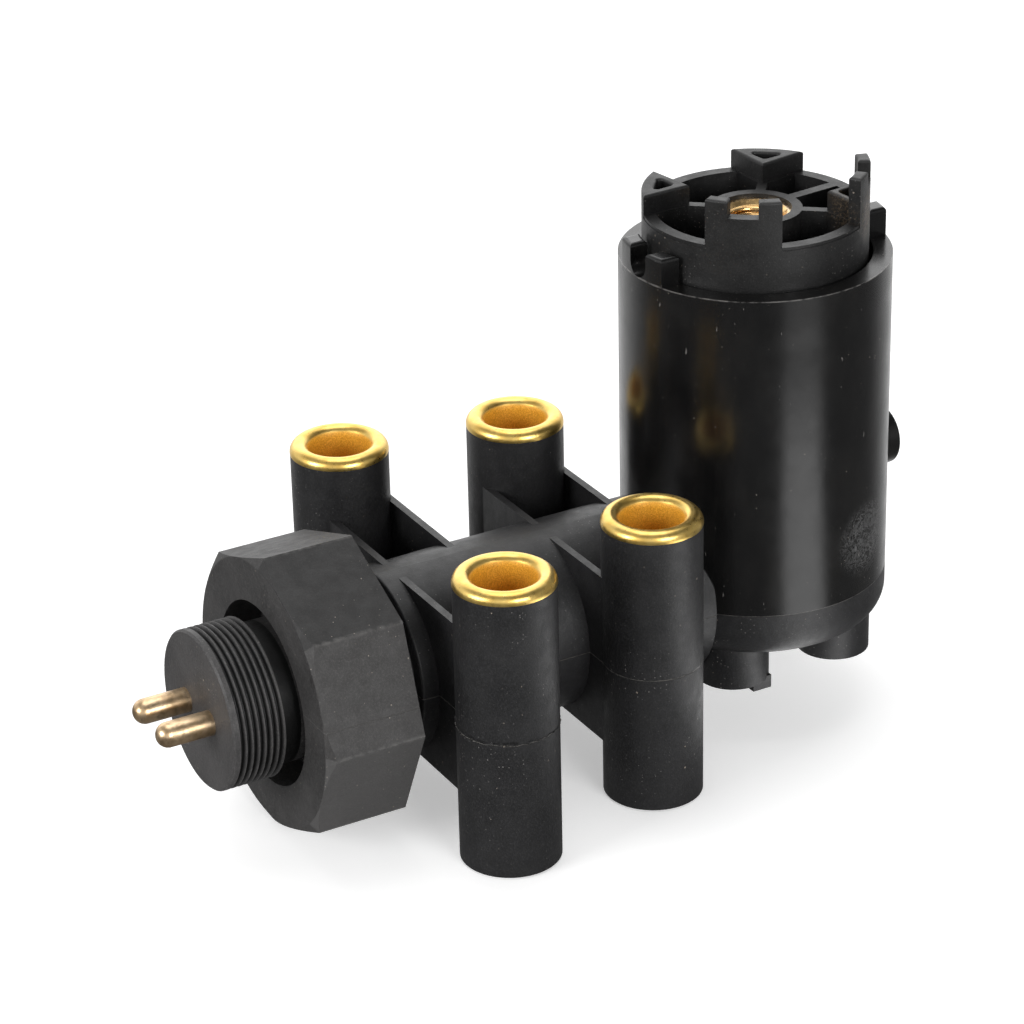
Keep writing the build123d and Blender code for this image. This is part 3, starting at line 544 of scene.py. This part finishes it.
def make_floor():
    """A plain white floor, with a look of its own to glossy rays."""
    bpy.ops.mesh.primitive_plane_add(size=40.0, location=(0, 0, 0))
    floor = bpy.context.object
    floor.name = "floor"
    s = Shader("floor_white")
    s.finish((0.9, 0.9, 0.9, 1.0), 0.9, s.bump(s.noise(0.02, detail=2), 0.01), specular=0.0)
    glow = s.node("ShaderNodeEmission")
    s.link(floor_glow(s), glow.inputs["Strength"])
    table = s.node("ShaderNodeEmission")
    table.inputs["Strength"].default_value = TABLE_GLOW
    lit_table = s.node("ShaderNodeAddShader")
    s.link(s.bsdf.outputs[0], lit_table.inputs[0])
    s.link(table.outputs[0], lit_table.inputs[1])
    choose = s.node("ShaderNodeMixShader")
    s.link(s.node("ShaderNodeLightPath").outputs["Is Glossy Ray"], choose.inputs[0])
    s.link(lit_table.outputs[0], choose.inputs[1])
    s.link(glow.outputs[0], choose.inputs[2])
    s.link(choose.outputs[0], s.tree.nodes["Material Output"].inputs["Surface"])
    floor.data.materials.append(s.material)


def make_light(name, place, size, power):
    data = bpy.data.lights.new(name, "AREA")
    data.shape = "RECTANGLE"
    data.size, data.size_y = size
    data.energy = power
    light = bpy.data.objects.new(name, data)
    light.location = place
    light.rotation_euler = (Vector(LIGHT_AIM) - Vector(place)).to_track_quat("-Z", "Y").to_euler()
    bpy.context.scene.collection.objects.link(light)


def make_world():
    """White for the camera; for light, bright near the horizon and dim overhead."""
    world = bpy.data.worlds.new("studio")
    world.use_nodes = True
    nodes, links = world.node_tree.nodes, world.node_tree.links
    direction = nodes.new("ShaderNodeTexCoord").outputs["Generated"]

    def towards(aim, start, end, low, high):
        """A strength that goes from low to high as a direction nears the aim."""
        nearness = nodes.new("ShaderNodeVectorMath")
        nearness.operation = "DOT_PRODUCT"
        links.new(direction, nearness.inputs[0])
        nearness.inputs[1].default_value = Vector(aim).normalized()
        fade = nodes.new("ShaderNodeMapRange")
        fade.interpolation_type = "SMOOTHSTEP"
        links.new(nearness.outputs["Value"], fade.inputs[0])
        for socket, number in zip(fade.inputs[1:5], (start, end, low, high)):
            socket.default_value = number
        return fade.outputs[0]

    overhead = towards((0, 0, 1), 0.45, 0.75, 0.8, 0.3)
    dim_side = towards((0.87, -0.4, 0.3), 0.1, 0.95, 1.0, 0.35)
    back = towards((0.43, 0.79, 0.44), 0.6, 0.97, 0.0, 1.2)
    strength = nodes.new("ShaderNodeMath")
    strength.operation = "MULTIPLY_ADD"
    for socket, source in zip(strength.inputs, (overhead, dim_side, back)):
        links.new(source, socket)
    background = nodes["Background"]
    background.inputs["Color"].default_value = (1, 1, 1, 1)
    links.new(strength.outputs[0], background.inputs["Strength"])
    white = nodes.new("ShaderNodeBackground")
    choose = nodes.new("ShaderNodeMixShader")
    links.new(nodes.new("ShaderNodeLightPath").outputs["Is Camera Ray"], choose.inputs[0])
    links.new(background.outputs[0], choose.inputs[1])
    links.new(white.outputs[0], choose.inputs[2])
    links.new(choose.outputs[0], nodes["World Output"].inputs["Surface"])
    bpy.context.scene.world = world


def ripple(rng, waves):
    """A wandering function of angle, between about -1 and 1, made of a few sine waves."""
    parts = [(n, rng.uniform(0, 2 * math.pi), rng.uniform(0.5, 1.0)) for n in waves]
    total = sum(size for _, _, size in parts) / 1.8
    return lambda angle: sum(size * math.sin(n * angle + phase) for n, phase, size in parts) / total


def make_flash(node, proud, wander, material):
    """Moulding flash: a thin ragged lip round a tube at the parting line."""
    rng = random.Random(node)
    reach = ripple(rng, (3, 7, 13, 22, 37, 58))
    climb = ripple(rng, (2, 5, 9, 17, 31))
    low, high = corner_mm(node, 0), corner_mm(node, 1)
    middle = (low + high) / 2
    tube_r = (high.x - low.x) / 2 - RIM_OVERHANG
    root_r = tube_r - 0.2
    steps = 360
    mesh = bmesh.new()
    rings = []
    for step in range(steps):
        angle = 2 * math.pi * step / steps
        z = AXIS_Z + wander * climb(angle)
        tip_r = tube_r + proud * max(0.15, 0.5 + 0.5 * reach(angle))
        section = ((root_r, z - 0.07), (tip_r, z - 0.02), (tip_r - 0.02, z + 0.03), (root_r, z + 0.12))
        ring = []
        for radius, height in section:
            x = middle.x + radius * math.cos(angle)
            y = middle.y + radius * math.sin(angle)
            ring.append(mesh.verts.new((x * MM, y * MM, height * MM)))
        rings.append(ring)
    for this, following in zip(rings, rings[1:] + rings[:1]):
        for corner in range(4):
            after = (corner + 1) % 4
            mesh.faces.new((this[corner], this[after], following[after], following[corner]))
    bmesh.ops.recalc_face_normals(mesh, faces=mesh.faces)
    data = bpy.data.meshes.new(node.replace("bush", "parting_flash"))
    mesh.to_mesh(data)
    mesh.free()
    data.materials.append(material)
    flash = bpy.data.objects.new(data.name, data)
    bpy.context.scene.collection.objects.link(flash)
    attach(flash, "base")


make_camera()
materials = make_materials()
give_materials(materials)
for bush in BUSHES:
    chipped = bush == "bush_front_outer"
    make_flash(bush, 0.22 if chipped else 0.05, 0.2 if chipped else 0.02, materials["housing_plastic"])
make_floor()
for light in LIGHTS:
    make_light(*light)
make_world()
bpy.context.scene.view_settings.view_transform = "Standard"
